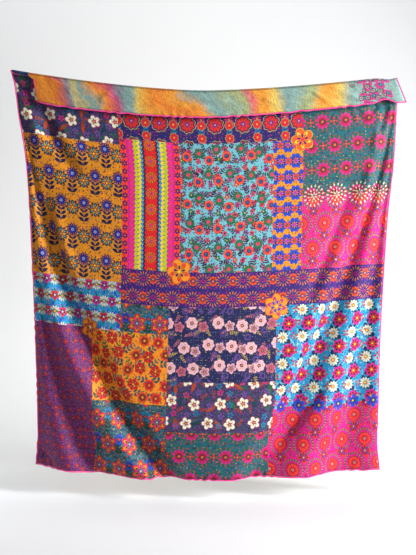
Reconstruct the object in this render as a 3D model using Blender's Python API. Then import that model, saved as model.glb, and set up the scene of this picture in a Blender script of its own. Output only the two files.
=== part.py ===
# A throw blanket of double-faced plush, hanging by its two top corners, with
# its top edge turned down over the front. One sheet of cloth hangs in folds
# that sweep from the corners to the hem, and a narrow overlocked edging runs
# all round it.
#
# X runs across the blanket, Y away from its front, Z up. The origin is on top
# of the turn, half way between the corners. All lengths are in metres.

import bpy
import numpy as np

# Cloth
THICKNESS = 0.003
DROP = 1.515  # top of the turn to the hem, at the middle
TURN_RADIUS = 0.006  # middle of the cloth, where it turns over the top

# How far the top and the hem rise from the middle to each end, and how
# straight the top runs up to its ends: 1 is straight, 2 a parabola
TOP_RISE = {"left": 0.080, "right": 0.056}
TOP_CURVE = 1.55
HEM_RISE = {"left": 0.039, "right": 0.022}
HEM_CURVE = 2.0
CORNER_DIP = {"across": 0.985, "reach": 0.025, "depth": 0.010}

# The flap: its length at each end, how far it stands off the front at its hem,
# how far its left end is drawn in and its right end sticks out as an ear
FLAP_LENGTH = {"left": 0.107, "right": 0.084}
FLAP_LIFT = 0.006
FLAP_DRAWN_IN = {"by": 0.078, "reach": 0.09, "down": 0.4}
FLAP_EAR = {"by": 0.031, "reach": 0.03}
FLAP_PUCKER = {"across": 0.965, "reach": 0.02, "rise": 0.016}

# The outline, a row for each height: distance down from the top, where the
# left and right edges are, and how far back each edge falls from the middle
OUTLINE_COLUMNS = ("down", "left", "right", "back_left", "back_right")
OUTLINE = (
    (0.000, -0.757, 0.726, 0.000, 0.000),
    (0.060, -0.745, 0.729, 0.006, 0.005),
    (0.150, -0.735, 0.728, 0.014, 0.012),
    (0.300, -0.713, 0.723, 0.028, 0.024),
    (0.500, -0.701, 0.705, 0.046, 0.040),
    (0.750, -0.694, 0.692, 0.064, 0.058),
    (1.050, -0.687, 0.681, 0.080, 0.074),
    (1.300, -0.683, 0.677, 0.090, 0.084),
    (1.430, -0.684, 0.675, 0.094, 0.088),
    (1.515, -0.692, 0.685, 0.096, 0.090),
)

# The folds, a row for each line from a top corner to the hem, counted inwards
# from its side edge: the share of the width at which it meets the hem, how
# strongly it bends towards the corner, its depth there, positive into the cloth
# and negative towards the front, and the mesh steps from it to the next line
FOLD_COLUMNS = ("name", "at_hem", "bend", "depth", "steps")
LEFT_FOLDS = (
    ("edge", 0.00, 1.00, 0.000, 3),
    ("outer ridge", 0.10, 5.20, -0.034, 3),
    ("outer trough", 0.19, 4.20, 0.020, 4),
    ("middle ridge", 0.32, 3.30, -0.030, 3),
    ("main trough", 0.39, 2.30, 0.040, 4),
    ("inner ridge", 0.45, 2.05, -0.006, 10),
)
RIGHT_FOLDS = (
    ("edge", 0.00, 1.00, -0.014, 4),
    ("outer trough", 0.12, 2.10, 0.036, 4),
    ("middle ridge", 0.22, 1.70, -0.024, 5),
    ("main trough", 0.36, 1.60, 0.034, 3),
    ("inner ridge", 0.43, 1.30, -0.020, 0),
)
MOST_DEEPENING = 1.3  # a fold is at most this many times its depth at the hem

# Overlocked edging, a flattened bead of thread round the raw edge
EDGING_WIDTH = 0.0055
EDGING_HEIGHT = 0.0044
EDGING_SIDES = 6
GAP = 0.0003  # between pieces that touch
CORNER_GAP = 0.0022  # from a side's edging to the edging across its end

# Fineness of the mesh. Its columns run down the fold lines, and keep apart
# where those meet in the corners
COLUMN_SPREAD = 0.30
SPREAD_CURVE = 1.8
PANEL_STEPS = 38
TOP_CROWDING = 1.15
TURN_STEPS = 6
FLAP_STEPS = 10
FLAP_CROWDING = 1.6

CLOTH_COLOUR = (0.30, 0.09, 0.24)
EDGING_COLOUR = (0.90, 0.06, 0.36)
CLOTH_ROUGHNESS = 0.95
EDGING_ROUGHNESS = 0.8


def clear_scene():
    for old in list(bpy.data.objects):
        bpy.data.objects.remove(old, do_unlink=True)


def ease(share):
    """Runs smoothly from 0 to 1, level at both ends."""
    return 0.5 - 0.5 * np.cos(np.pi * np.clip(share, 0, 1))


def outline_value(column, down):
    """A column of the outline table at any height, by a smooth curve through its rows."""
    heights = np.array([row[0] for row in OUTLINE])
    values = np.array([row[OUTLINE_COLUMNS.index(column)] for row in OUTLINE])
    slopes = np.gradient(values, heights)
    down = np.clip(down, heights[0], heights[-1])
    low = np.clip(np.searchsorted(heights, down, side="right") - 1, 0, len(heights) - 2)
    step = heights[low + 1] - heights[low]
    t = (down - heights[low]) / step
    rise = values[low + 1] - values[low]
    start = slopes[low] * step
    end = slopes[low + 1] * step
    return values[low] + start * t + (3 * rise - 2 * start - end) * t**2 + (start + end - 2 * rise) * t**3


def from_middle(across, ends, curve):
    """0 at the middle of the cloth, rising to each end's own value."""
    away = 2 * across - 1
    return np.where(away < 0, ends["left"], ends["right"]) * np.abs(away) ** curve


def bump(across, place):
    """1 at one place across the cloth, fading to 0 on both sides of it."""
    return np.exp(-(((across - place["across"]) / place["reach"]) ** 2))


def fold_rows(folds, *names):
    """The named columns of a table of folds, row by row."""
    at = [FOLD_COLUMNS.index(name) for name in names]
    return [tuple(row[column] for column in at) for row in folds]


def fold_lines(share_down):
    """The fold lines from left to right: their places across the hem and at this height,
    and their depths. A line's depth shrinks with the room beside it, so that its sides
    keep their slope."""
    lines = []
    for at, bend, depth in fold_rows(LEFT_FOLDS, "at_hem", "bend", "depth"):
        lines.append((at, at * share_down**bend, depth))
    for at, bend, depth in reversed(fold_rows(RIGHT_FOLDS, "at_hem", "bend", "depth")):
        lines.append((1 - at, 1 - at * share_down**bend, depth))
    at_hem = [at for at, _, _ in lines]
    places = [place for _, place, _ in lines]
    depths = []
    for this, (_, _, depth) in enumerate(lines):
        crowding, crowding_at_hem = 0, 0
        for other in (this - 1, this + 1):
            if 0 <= other < len(lines):
                crowding = crowding + 1 / np.maximum(np.abs(places[other] - places[this]), 1e-6)
                crowding_at_hem = crowding_at_hem + 1 / abs(at_hem[other] - at_hem[this])
        depths.append(depth * np.minimum(crowding_at_hem / crowding, MOST_DEEPENING))
    return at_hem, places, depths


def columns(share_down):
    """The mesh columns' places across the cloth at one height, a few from each fold line
    to the next."""
    at_hem, places, _ = fold_lines(share_down)
    spread = COLUMN_SPREAD * (1 - share_down) ** SPREAD_CURVE
    lines = [place + (at - place) * spread for at, place in zip(at_hem, places)]
    steps = [steps for steps, in fold_rows(LEFT_FOLDS + RIGHT_FOLDS[-2::-1], "steps")]
    across = [np.linspace(lines[k], lines[k + 1], steps[k], endpoint=False) for k in range(len(steps))]
    return np.concatenate(across + [[1.0]])


def fold_depth(across, share_down):
    """How far the folds push the cloth back: an eased ramp from each line to the next."""
    _, places, depths = fold_lines(share_down)
    depth = np.zeros_like(across)
    for left in range(len(places) - 1):
        start, end = places[left], places[left + 1]
        share = (across - start) / np.maximum(end - start, 1e-9)
        ramp = depths[left] + (depths[left + 1] - depths[left]) * ease(share)
        depth = np.where((across >= start) & (across <= end), ramp, depth)
    return depth


def panel(across, down):
    """The hanging cloth, from the foot of the turn to the hem."""
    share_down = down / DROP
    left = outline_value("left", down)
    right = outline_value("right", down)
    top = from_middle(across, TOP_RISE, TOP_CURVE) - TURN_RADIUS - THICKNESS / 2
    top = top - CORNER_DIP["depth"] * bump(across, CORNER_DIP)
    hem = from_middle(across, HEM_RISE, HEM_CURVE) - DROP
    back = {"left": outline_value("back_left", down), "right": outline_value("back_right", down)}
    x = left + (right - left) * across
    y = from_middle(across, back, 2) + fold_depth(across, share_down)
    z = top + share_down * (hem - top)
    return np.stack([x, y, z], axis=-1)


def turn(across, angle):
    """The half circle over the top, from the panel at 0 to the flap at pi."""
    point = panel(across, np.zeros_like(across))
    point[..., 1] += TURN_RADIUS * (np.cos(angle) - 1)
    point[..., 2] += TURN_RADIUS * np.sin(angle)
    return point


def flap(across, share):
    """The flap in front of the panel, from the turn at 0 to its own hem at 1."""
    length = FLAP_LENGTH["left"] + (FLAP_LENGTH["right"] - FLAP_LENGTH["left"]) * across
    point = panel(across, share * length)
    drawn_in = FLAP_DRAWN_IN["by"] * np.exp(-across / FLAP_DRAWN_IN["reach"])
    point[..., 0] += drawn_in * ease(share / FLAP_DRAWN_IN["down"])
    point[..., 0] += FLAP_EAR["by"] * np.exp((across - 1) / FLAP_EAR["reach"]) * share
    point[..., 1] -= 2 * TURN_RADIUS + FLAP_LIFT * share
    point[..., 2] += FLAP_PUCKER["rise"] * bump(across, FLAP_PUCKER) * share
    return point


def middle_surface():
    """The middle of the cloth as a grid: rows from the flap's hem over the turn to the
    bottom hem, columns from left to right."""
    across = columns(0.0)
    rows = []
    for step in range(FLAP_STEPS, 0, -1):
        rows.append(flap(across, np.full_like(across, (step / FLAP_STEPS) ** FLAP_CROWDING)))
    for step in range(TURN_STEPS):
        rows.append(turn(across, np.pi * (1 - step / TURN_STEPS)))
    for step in range(PANEL_STEPS + 1):
        share_down = (step / PANEL_STEPS) ** TOP_CROWDING
        across = columns(share_down)
        rows.append(panel(across, np.full_like(across, DROP * share_down)))
    return np.array(rows)


def unit(vectors):
    return vectors / np.linalg.norm(vectors, axis=-1, keepdims=True)


def heading(points, axis):
    """The direction of travel at each point, half way between the steps on both sides."""
    steps = unit(np.diff(points, axis=axis))
    first = np.take(steps, [0], axis=axis)
    last = np.take(steps, [-1], axis=axis)
    before = np.concatenate([first, steps], axis=axis)
    after = np.concatenate([steps, last], axis=axis)
    return unit(before + after)


def surface_frames(grid):
    """Directions along the rows, along the columns and square to the printed face."""
    along_row = heading(grid, 1)
    along_column = heading(grid, 0)
    face = unit(np.cross(along_column, along_row))
    return along_row, along_column, face


def make_object(name, points, faces, colour, roughness):
    mesh = bpy.data.meshes.new(name)
    mesh.from_pydata(points.reshape(-1, 3).tolist(), [], faces)
    mesh.shade_smooth()
    mesh.update()
    material = bpy.data.materials.new(name)
    material.use_nodes = True
    shader = material.node_tree.nodes["Principled BSDF"]
    shader.inputs["Base Color"].default_value = (*colour, 1)
    shader.inputs["Roughness"].default_value = roughness
    shader.inputs["Metallic"].default_value = 0
    mesh.materials.append(material)
    made = bpy.data.objects.new(name, mesh)
    bpy.context.collection.objects.link(made)


def rim_faces(printed, plain):
    """The raw edge between a row of printed points and the row behind it. Each slanting
    line runs from a printed point to the next point behind, as on the edging beside it."""
    faces = []
    for here in range(len(printed) - 1):
        start, end = int(printed[here]), int(printed[here + 1])
        start_behind, end_behind = int(plain[here]), int(plain[here + 1])
        faces.append([start, end, end_behind])
        faces.append([start, end_behind, start_behind])
    return faces


def make_cloth(grid, face):
    """The sheet: its printed face, its reverse and the four raw edges that join them.
    Each small square is cut in two along the folds, which run down to the right in the
    left half and down to the left in the right half."""
    rows, across = grid.shape[:2]
    points = np.stack([grid + face * THICKNESS / 2, grid - face * THICKNESS / 2])
    printed = np.arange(rows * across).reshape(rows, across)
    plain = printed + rows * across
    faces = []
    left_steps = [steps for steps, in fold_rows(LEFT_FOLDS, "steps")]
    middle = sum(left_steps[:-1]) + left_steps[-1] // 2
    for row in range(rows - 1):
        for column in range(across - 1):
            ring = [(row, column), (row + 1, column), (row + 1, column + 1), (row, column + 1)]
            if column >= middle:
                ring = ring[1:] + ring[:1]
            for three in (ring[:3], [ring[2], ring[3], ring[0]]):
                faces.append([int(printed[at]) for at in three])
                faces.append([int(plain[at]) for at in reversed(three)])
    faces += rim_faces(printed[0], plain[0])
    faces += rim_faces(printed[:, -1], plain[:, -1])
    faces += [ring[::-1] for ring in rim_faces(printed[-1], plain[-1])]
    faces += [ring[::-1] for ring in rim_faces(printed[:, 0], plain[:, 0])]
    make_object("blanket_cloth", points, faces, CLOTH_COLOUR, CLOTH_ROUGHNESS)


def make_edging(name, edge, outward, face):
    """A bead of thread beside an edge: a flattened ring of points carried along it."""
    angles = (np.arange(EDGING_SIDES) + 0.5) * 2 * np.pi / EDGING_SIDES
    flat_to_flat = np.cos(angles[0])
    out = (1 + np.cos(angles) / flat_to_flat) * EDGING_WIDTH / 2 + GAP
    up = np.sin(angles) * EDGING_HEIGHT / 2
    points = edge[:, None] + outward[:, None] * out[:, None] + face[:, None] * up[:, None]
    stations = len(edge)
    faces = [list(range(EDGING_SIDES))]
    for station in range(stations - 1):
        for side in range(EDGING_SIDES):
            beside = (side + 1) % EDGING_SIDES
            here, there = station * EDGING_SIDES, (station + 1) * EDGING_SIDES
            faces.append([here + side, there + side, there + beside])
            faces.append([here + side, there + beside, here + beside])
    faces.append([(stations - 1) * EDGING_SIDES + side for side in reversed(range(EDGING_SIDES))])
    turns_right = np.dot(np.cross(outward[0], face[0]), edge[1] - edge[0]) > 0
    if turns_right:
        faces = [ring[::-1] for ring in faces]
    make_object(name, points, faces, EDGING_COLOUR, EDGING_ROUGHNESS)


def square_to(direction, edge):
    """The part of each direction that is square to its edge, which the points follow."""
    along = heading(edge, 0)
    return unit(direction - along * np.sum(direction * along, axis=-1, keepdims=True))


def make_side_edging(name, grid, frames, column, sign):
    """The edging down one side, a little short of the cloth at both ends."""
    along_row, _, face = frames
    edge = grid[:, column].copy()
    outward = square_to(along_row[:, column] * sign, edge)
    edge[0] += unit(edge[1] - edge[0]) * CORNER_GAP
    edge[-1] += unit(edge[-2] - edge[-1]) * CORNER_GAP
    make_edging(name, edge, outward, face[:, column])


def make_cross_edging(name, grid, frames, row, sign):
    """The edging along one hem, run on past both corners to cover the sides' edging."""
    _, along_column, face = frames
    edge = grid[row]
    outward = square_to(along_column[row] * sign, edge)
    past = EDGING_WIDTH + GAP
    start = edge[0] + unit(edge[0] - edge[1]) * past
    end = edge[-1] + unit(edge[-1] - edge[-2]) * past
    edge = np.vstack([start, edge, end])
    outward = np.vstack([outward[:1], outward, outward[-1:]])
    make_edging(name, edge, outward, np.vstack([face[row][:1], face[row], face[row][-1:]]))


clear_scene()
cloth_grid = middle_surface()
cloth_frames = surface_frames(cloth_grid)
make_cloth(cloth_grid, cloth_frames[2])
make_side_edging("edging_left", cloth_grid, cloth_frames, 0, -1)
make_side_edging("edging_right", cloth_grid, cloth_frames, -1, 1)
make_cross_edging("edging_flap", cloth_grid, cloth_frames, 0, -1)
make_cross_edging("edging_bottom", cloth_grid, cloth_frames, -1, 1)
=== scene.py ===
import bpy
import numpy as np
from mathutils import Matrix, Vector


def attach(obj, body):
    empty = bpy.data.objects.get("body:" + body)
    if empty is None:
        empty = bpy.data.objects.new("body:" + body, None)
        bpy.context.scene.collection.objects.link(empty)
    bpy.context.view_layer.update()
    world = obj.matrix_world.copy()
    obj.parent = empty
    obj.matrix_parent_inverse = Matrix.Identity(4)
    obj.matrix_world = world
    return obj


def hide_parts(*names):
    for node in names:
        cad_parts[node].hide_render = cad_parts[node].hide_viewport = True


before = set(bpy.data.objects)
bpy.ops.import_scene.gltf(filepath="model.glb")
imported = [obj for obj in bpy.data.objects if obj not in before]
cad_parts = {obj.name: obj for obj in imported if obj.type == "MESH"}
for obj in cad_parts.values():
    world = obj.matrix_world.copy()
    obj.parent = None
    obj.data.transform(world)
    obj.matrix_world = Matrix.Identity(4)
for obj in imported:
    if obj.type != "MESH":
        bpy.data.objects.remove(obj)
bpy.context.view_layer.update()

print("frame loaded:", ", ".join(sorted(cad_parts)))

# The blanket's hang, in metres: x across, y away from the front, z up, the origin on top of the turn.
# The outline has a value for each height down. A fold line is where it meets the hem, as a share of the
# width from its own side, how it bends towards its corner, and its depth, positive away from the front.
hang = {
    "width": 1.52, "drop": 1.515, "thickness": 0.003, "turnRadius": 0.006,
    "topRise": (0.080, 0.056), "topCurve": 1.55,
    "hemRise": (0.039, 0.022), "hemCurve": 2.0,
    "cornerDip": {"at": 0.985, "reach": 0.025, "by": 0.010},
    "down": (0.0, 0.06, 0.15, 0.30, 0.50, 0.75, 1.05, 1.30, 1.43, 1.515),
    "left": (-0.757, -0.745, -0.735, -0.713, -0.701, -0.694, -0.687, -0.683, -0.684, -0.692),
    "right": (0.726, 0.729, 0.728, 0.723, 0.705, 0.692, 0.681, 0.677, 0.675, 0.685),
    "leftBack": (0.0, 0.006, 0.014, 0.028, 0.046, 0.064, 0.080, 0.090, 0.094, 0.096),
    "rightBack": (0.0, 0.005, 0.012, 0.024, 0.040, 0.058, 0.074, 0.084, 0.088, 0.090),
    "leftFolds": ((0.0, 1.0, 0.0), (0.10, 5.2, -0.034), (0.19, 4.2, 0.020),
                  (0.32, 3.3, -0.030), (0.39, 2.3, 0.040), (0.45, 2.05, -0.006)),
    "rightFolds": ((0.0, 1.0, -0.014), (0.12, 2.1, 0.036), (0.22, 1.7, -0.024),
                   (0.36, 1.6, 0.034), (0.43, 1.3, -0.020)),
    "mostDeepening": 1.3,
}
flapShape = {
    "length": (0.107, 0.084), "lift": 0.006,
    "drawnIn": {"by": 0.078, "reach": 0.06, "down": 0.3},
    "ear": {"by": 0.031, "reach": 0.03},
    "pucker": {"at": 0.965, "reach": 0.02, "by": 0.016},
}
sheetMesh = {"across": 228, "flapRows": 14, "turnRows": 8, "panelRows": 190, "arcSamples": 1500}
viewer = {"distance": 3.38, "height": -0.616, "tiltDown": 1.83, "focal": 867.0, "frame": (416, 555),
          "sensor": 36}

# Smaller creases over those folds, as the viewer in front sees them, in millimetres: start, middle and end
# (across, up), half width, depth (a ridge is negative) and how round the crease is, 1 sharp and 2 soft.
creases = (
    ((-755, 42), (-723, 15), (-692, -8), 12, 8, 2.0),
    ((-690, 0), (-632, -100), (-591, -219), 22, 17, 1.8),
    ((-715, -60), (-672, -150), (-640, -250), 20, -9, 2.0),
    ((-610, -180), (-552, -265), (-495, -345), 26, 11, 1.8),
    ((-580, -120), (-530, -220), (-470, -300), 26, -6, 2.0),
    ((-664, -118), (-648, -138), (-632, -150), 8, 5, 1.4),
    ((-652, -160), (-640, -186), (-622, -204), 8, -4, 1.4),
    ((-640, -215), (-626, -240), (-606, -252), 8, 4, 1.4),
    ((-640, -370), (-587, -601), (-517, -800), 19, 20, 1.7),
    ((-600, -420), (-566, -580), (-500, -740), 20, -10, 1.8),
    ((-548, -720), (-452, -932), (-340, -1160), 21, 13, 1.7),
    ((-345, -1174), (-248, -1303), (-150, -1440), 24, 4, 1.8),
    ((-520, -900), (-460, -1060), (-375, -1220), 20, -8, 2.0),
    ((661, -51), (642, -71), (626, -94), 10, 6, 1.4),
    ((700, -45), (681, -106), (655, -180), 13, 11, 1.6),
    ((680, -90), (655, -170), (640, -260), 13, -7, 1.8),
    ((532, -55), (552, -90), (560, -130), 9, 3, 1.5),
    ((575, -60), (590, -95), (610, -133), 9, 4, 1.5),
    ((640, -250), (602, -430), (535, -600), 20, -14, 1.8),
    ((553, -560), (454, -796), (365, -1010), 23, -13, 1.8),
    ((380, -975), (340, -1060), (285, -1190), 20, -10, 1.8),
    ((572, -320), (489, -560), (365, -880), 22, 10, 1.8),
    ((641, -960), (540, -1180), (388, -1424), 26, -9, 2.0),
    ((480, -1130), (385, -1235), (232, -1440), 20, 12, 1.7),
    ((455, -1172), (430, -1190), (404, -1204), 8, 5, 1.3),
    ((256, -1420), (232, -1434), (208, -1446), 8, 5, 1.3),
    ((345, -1140), (346, -1310), (345, -1470), 7, 2, 1.3),
    ((548, -1330), (549, -1383), (548, -1440), 7, 2, 1.3),
    ((-660, -1385), (-632, -1430), (-598, -1470), 13, 9, 1.5),
    ((-560, -1330), (-500, -1400), (-455, -1470), 22, 8, 1.8),
)
# Shallow puckers on the flap, in the same terms
puckers = (
    ((-624, 43), (-585, 27), (-538, 27), 10, 4, 1.7),
    ((-600, -8), (-560, -22), (-520, -16), 10, 3, 2.0),
    ((-569, 4), (-499, -6), (-421, 4), 11, 4, 1.8),
    ((-425, -42), (-398, -25), (-368, -2), 10, 5, 1.6),
    ((-343, -16), (-265, -25), (-168, -20), 11, 3, 2.0),
    ((-130, -60), (-60, -66), (10, -62), 11, 3, 2.0),
    ((-31, -31), (27, -40), (94, -31), 10, 3, 1.8),
    ((211, -23), (234, -38), (261, -27), 9, 4, 1.6),
    ((281, -47), (359, -53), (437, -45), 11, 3, 2.0),
    ((398, -4), (441, -25), (480, -55), 9, 5, 1.5),
    ((495, -4), (554, -18), (600, -35), 10, 4, 1.8),
)
creasesFrom, puckersTo = 0.012, -0.02  # metres down from the turn, and on the flap before it
# The hems and selvedges are a little longer than the cloth inside them, so they ripple
ripple = {
    "length": 0.047, "height": 0.0024, "inward": 0.020, "wobble": 0.0024,
    "drift": 0.55, "driftLength": 0.31, "swell": 0.23,
    "flapHem": 0.4,  # the flap's hem has this much of the height
}


# 0 to 1, level at both ends: half a cosine wave.
def easeRamp(share):
    return 0.5 - 0.5 * np.cos(np.pi * np.clip(share, 0, 1))


# A cubic through values or points, each with its place along, with slopes from their neighbours.
def cubicThrough(places, values, at):
    slopes = np.gradient(values, places, axis=0)
    low = np.clip(np.searchsorted(places, at, side="right") - 1, 0, len(places) - 2)
    step = places[low + 1] - places[low]
    t = (at - places[low]) / step
    if values.ndim > 1:
        step, t = step[:, None], t[:, None]
    rise, start, end = values[low + 1] - values[low], slopes[low] * step, slopes[low + 1] * step
    return values[low] + start * t + (3 * rise - 2 * start - end) * t**2 + (start + end - 2 * rise) * t**3


# A column of the outline at any height down.
def outlineAt(column, down):
    heights = np.array(hang["down"])
    return cubicThrough(heights, np.array(hang[column]), np.clip(down, heights[0], heights[-1]))


# How far along its line each point is: the steps before it, added.
def lengthAlong(points):
    return np.concatenate([[0], np.cumsum(np.linalg.norm(np.diff(points, axis=0), axis=1))])


# 0 half way across, and a power of the distance from there up to each side's own value.
def fromMiddle(across, left, right, curve):
    away = 2 * across - 1
    return np.where(away < 0, left, right) * np.abs(away) ** curve


# A bell of height 1 at one place across.
def bell(across, place):
    return np.exp(-(((across - place["at"]) / place["reach"]) ** 2))


# Half cosine ramps from each fold line to the next. A line's depth shrinks with the room it has beside it.
def foldDepth(across, shareDown):
    hem = [f[0] for f in hang["leftFolds"]] + [1 - f[0] for f in hang["rightFolds"][::-1]]
    full = [f[2] for f in hang["leftFolds"]] + [f[2] for f in hang["rightFolds"][::-1]]
    places = [f[0] * shareDown ** f[1] for f in hang["leftFolds"]]
    places += [1 - f[0] * shareDown ** f[1] for f in hang["rightFolds"][::-1]]
    depths = []
    for i in range(len(hem)):
        near = [j for j in (i - 1, i + 1) if 0 <= j < len(hem)]
        crowding = sum(1 / np.maximum(np.abs(places[j] - places[i]), 1e-6) for j in near)
        crowdingAtHem = sum(1 / abs(hem[j] - hem[i]) for j in near)
        depths.append(full[i] * np.minimum(crowdingAtHem / crowding, hang["mostDeepening"]))
    depth = np.zeros_like(across)
    for i in range(len(hem) - 1):
        share = (across - places[i]) / np.maximum(places[i + 1] - places[i], 1e-9)
        ramp = depths[i] + (depths[i + 1] - depths[i]) * easeRamp(share)
        depth = np.where((across >= places[i]) & (across <= places[i + 1]), ramp, depth)
    return depth


# The hanging cloth: sides from the outline, a bow back towards them, the folds, and a height that blends
# from the sagging top line to the hem.
def panelPoint(across, down):
    shareDown = down / hang["drop"]
    left, right = outlineAt("left", down), outlineAt("right", down)
    top = fromMiddle(across, *hang["topRise"], hang["topCurve"]) - hang["turnRadius"] - hang["thickness"] / 2
    top = top - hang["cornerDip"]["by"] * bell(across, hang["cornerDip"])
    hem = fromMiddle(across, *hang["hemRise"], hang["hemCurve"]) - hang["drop"]
    back = fromMiddle(across, outlineAt("leftBack", down), outlineAt("rightBack", down), 2)
    return np.stack([left + (right - left) * across, back + foldDepth(across, shareDown),
                     top + shareDown * (hem - top)], axis=-1)


# Half a circle over the top, angle 0 at the panel and pi at the flap.
def turnPoint(across, angle):
    point = panelPoint(across, np.zeros_like(across))
    point[..., 1] += hang["turnRadius"] * (np.cos(angle) - 1)
    point[..., 2] += hang["turnRadius"] * np.sin(angle)
    return point


# The panel's top again, in front of it, with its left end drawn in and its right end sticking out.
def flapPoint(across, share):
    length = flapShape["length"][0] + (flapShape["length"][1] - flapShape["length"][0]) * across
    point = panelPoint(across, share * length)
    drawn, ear, pucker = flapShape["drawnIn"], flapShape["ear"], flapShape["pucker"]
    point[..., 0] += drawn["by"] * np.exp(-across / drawn["reach"]) * easeRamp(share / drawn["down"])
    point[..., 0] += ear["by"] * np.exp((across - 1) / ear["reach"]) * share
    point[..., 1] -= 2 * hang["turnRadius"] + flapShape["lift"] * share
    point[..., 2] += pucker["by"] * bell(across, pucker) * share
    return point


# Where evenly spaced threads lie across the cloth at each height: each has its own share of the length of
# the folded row.
def evenAcross(down):
    fine = np.linspace(0, 1, sheetMesh["arcSamples"])
    even = np.linspace(0, 1, sheetMesh["across"] + 1)
    rows = []
    for height in down:
        length = lengthAlong(panelPoint(fine, np.full_like(fine, height))[:, :2])
        rows.append(np.interp(even, length / length[-1], fine))
    return np.array(rows)


# The middle of the cloth, row by row from the flap's hem over the turn to the bottom hem, and its flat
# coordinates.
def sheetSurface():
    drop = np.linspace(0, hang["drop"], sheetMesh["panelRows"] + 1)
    across = evenAcross(drop)
    top = across[0]
    flapShare = np.linspace(1, 0, sheetMesh["flapRows"], endpoint=False)[:, None]
    angle = np.linspace(np.pi, 0, sheetMesh["turnRows"], endpoint=False)[:, None]
    flap = flapPoint(top + 0 * flapShare, flapShare + 0 * top)
    turn = turnPoint(top + 0 * angle, angle + 0 * top)
    panel = panelPoint(across, drop[:, None] + 0 * across)
    flapLength = sum(flapShape["length"]) / 2
    along = np.concatenate([-np.pi * hang["turnRadius"] - flapLength * flapShare[:, 0],
                            -hang["turnRadius"] * angle[:, 0], drop])
    u = np.linspace(0, hang["width"], sheetMesh["across"] + 1)
    return np.concatenate([flap, turn, panel]), 0 * along[:, None] + u, along[:, None] + 0 * u


def unit(vectors):
    return vectors / np.linalg.norm(vectors, axis=-1, keepdims=True)


# The direction of travel at each point: the unit steps before and after it, added.
def heading(points, axis):
    steps = unit(np.diff(points, axis=axis))
    before = np.concatenate([np.take(steps, [0], axis=axis), steps], axis=axis)
    after = np.concatenate([steps, np.take(steps, [-1], axis=axis)], axis=axis)
    return unit(before + after)


# Square to the printed face: down the cloth crossed with across it.
def faceNormal(grid):
    return unit(np.cross(heading(grid, 0), heading(grid, 1)))


# Each crease is a quadratic curve cut into short runs. Its depth is a bell of the distance to the nearest
# run, and fades over the last quarter at both ends.
def creaseDepth(points, lines):
    farther = 1 + points[..., 1] / viewer["distance"]
    seen = np.stack([points[..., 0], points[..., 2] - viewer["height"]], -1) / farther[..., None]
    seen[..., 1] += viewer["height"]
    depth = np.zeros(points.shape[:-1])
    runs, fadeShare, reach = 16, 0.25, 3.5
    for start, middleOfCurve, end, halfWidth, deep, roundness in lines:
        start, through, end = (np.array(place) / 1000 for place in (start, middleOfCurve, end))
        t = np.linspace(0, 1, runs + 1)[:, None]
        curve = (1 - t) * (1 - 2 * t) * start + 4 * t * (1 - t) * through + t * (2 * t - 1) * end
        room = reach * halfWidth / 1000
        near = np.all((seen > curve.min(0) - room) & (seen < curve.max(0) + room), axis=-1)
        spots = seen[near]
        nearest, along = np.full(len(spots), np.inf), np.zeros(len(spots))
        for run in range(runs):
            step = curve[run + 1] - curve[run]
            share = np.clip((spots - curve[run]) @ step / (step @ step), 0, 1)
            away = np.linalg.norm(spots - curve[run] - share[:, None] * step, axis=1)
            along = np.where(away < nearest, (run + share) / runs, along)
            nearest = np.minimum(nearest, away)
        fade = easeRamp(np.minimum(along, 1 - along) / fadeShare)
        depth[near] += deep / 1000 * np.exp(-((nearest * 1000 / halfWidth) ** roundness)) * fade
    return depth


# A sine along each edge whose length drifts, fading into the cloth as a bell of the distance from that
# edge. It moves the cloth in and out, and a little up and down.
def edgeRipple(u, v):
    bulge, sway, fade = np.zeros_like(u), np.zeros_like(u), np.zeros_like(u)
    # along and away from the left side, the right side, the bottom hem and the flap's hem
    edges = ((v, u), (v, hang["width"] - u), (u, v[-1, 0] - v), (u, v - v[0, 0]))
    for index, (along, away) in enumerate(edges):
        drift = ripple["drift"] * np.sin(2 * np.pi * along / ripple["driftLength"] + 2 * index)
        near = np.exp(-((away / ripple["inward"]) ** 2))
        swell = 0.5 + 0.5 * np.sin(2 * np.pi * along / ripple["swell"] + 3 * index)
        wave = np.sin(2 * np.pi * (along / ripple["length"] + drift) + index) * near * swell
        bulge += wave * (ripple["flapHem"] if index == len(edges) - 1 else 1)
        sway += wave
        fade = np.maximum(fade, near)
    return ripple["height"] * bulge, ripple["wobble"] * sway * fade


middle, clothU, clothV = sheetSurface()
normal = faceNormal(middle)
creased = creaseDepth(middle, creases) * (clothV > creasesFrom)
creased += creaseDepth(middle, puckers) * (clothV < puckersTo)
bulge, sway = edgeRipple(clothU, clothV)
middle = middle + normal * (bulge - creased)[..., None]
middle[..., 2] += sway
normal = faceNormal(middle)
print("cloth surface laid out:", middle.shape[:2])

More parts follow.
